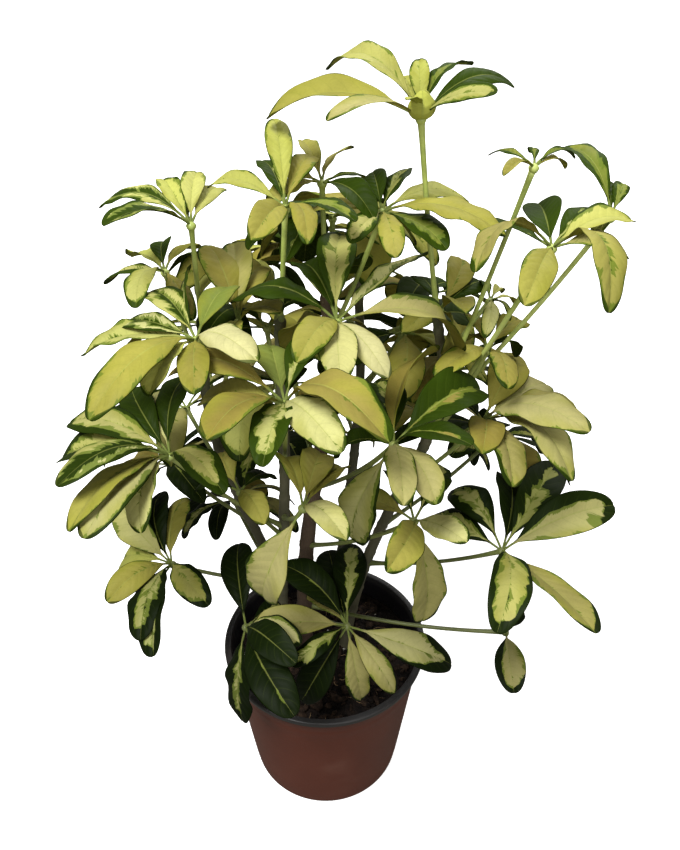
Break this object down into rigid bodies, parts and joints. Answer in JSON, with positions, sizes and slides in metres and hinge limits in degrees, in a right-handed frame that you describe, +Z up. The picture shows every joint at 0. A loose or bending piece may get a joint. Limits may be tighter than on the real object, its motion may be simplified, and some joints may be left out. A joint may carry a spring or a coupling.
{
  "type": "potted umbrella plant",
  "caption": "Bushy variegated dwarf umbrella plant: cream and green leaflets in umbrella-like fronds on long stalks, woody stems in dark soil, in a tapered round plastic nursery pot",
  "frame": {"origin": "middle of the pot's flat base, on the surface that it stands on", "axes": "+Z up, -Y towards the viewer of the picture, +X to the viewer's right"},
  "size_m": [0.3146, 0.2827, 0.4672],
  "materials": {
    "pot_plastic": "thin formed nursery plastic, terracotta brown outside and black inside, satin",
    "soil": "damp dark peat and bark potting mix",
    "bark": "thin grey-brown bark over green young wood",
    "leaf": "leathery leaf, cream to lime with dark green margins and flames, soft gloss"
  },
  "bodies": {
    "root": {"pot": "pot_plastic", "soil": "soil", "stem_trunk": "bark", "stem_left": "bark", "stem_right": "bark", "stem_far_left": "bark", "stem_back": "bark", "frond_01": "leaf", "frond_02": "leaf", "frond_03": "leaf", "frond_04": "leaf", "frond_05": "leaf", "frond_06": "leaf", "frond_07": "leaf", "frond_08": "leaf", "frond_09": "leaf", "frond_10": "leaf", "frond_11": "leaf", "frond_12": "leaf", "frond_13": "leaf", "frond_14": "leaf", "frond_15": "leaf", "frond_16": "leaf", "frond_17": "leaf", "frond_18": "leaf", "frond_19": "leaf", "frond_20": "leaf", "frond_21": "leaf", "frond_22": "leaf", "frond_23": "leaf", "frond_24": "leaf", "frond_25": "leaf", "frond_26": "leaf", "frond_27": "leaf", "frond_28": "leaf", "frond_29": "leaf", "frond_30": "leaf", "frond_31": "leaf", "frond_32": "leaf", "frond_33": "leaf", "frond_34": "leaf", "frond_35": "leaf", "frond_36": "leaf", "frond_37": "leaf", "frond_38": "leaf", "frond_39": "leaf", "frond_40": "leaf", "frond_41": "leaf", "frond_42": "leaf", "frond_43": "leaf", "frond_44": "leaf"}
  },
  "joints": []
}
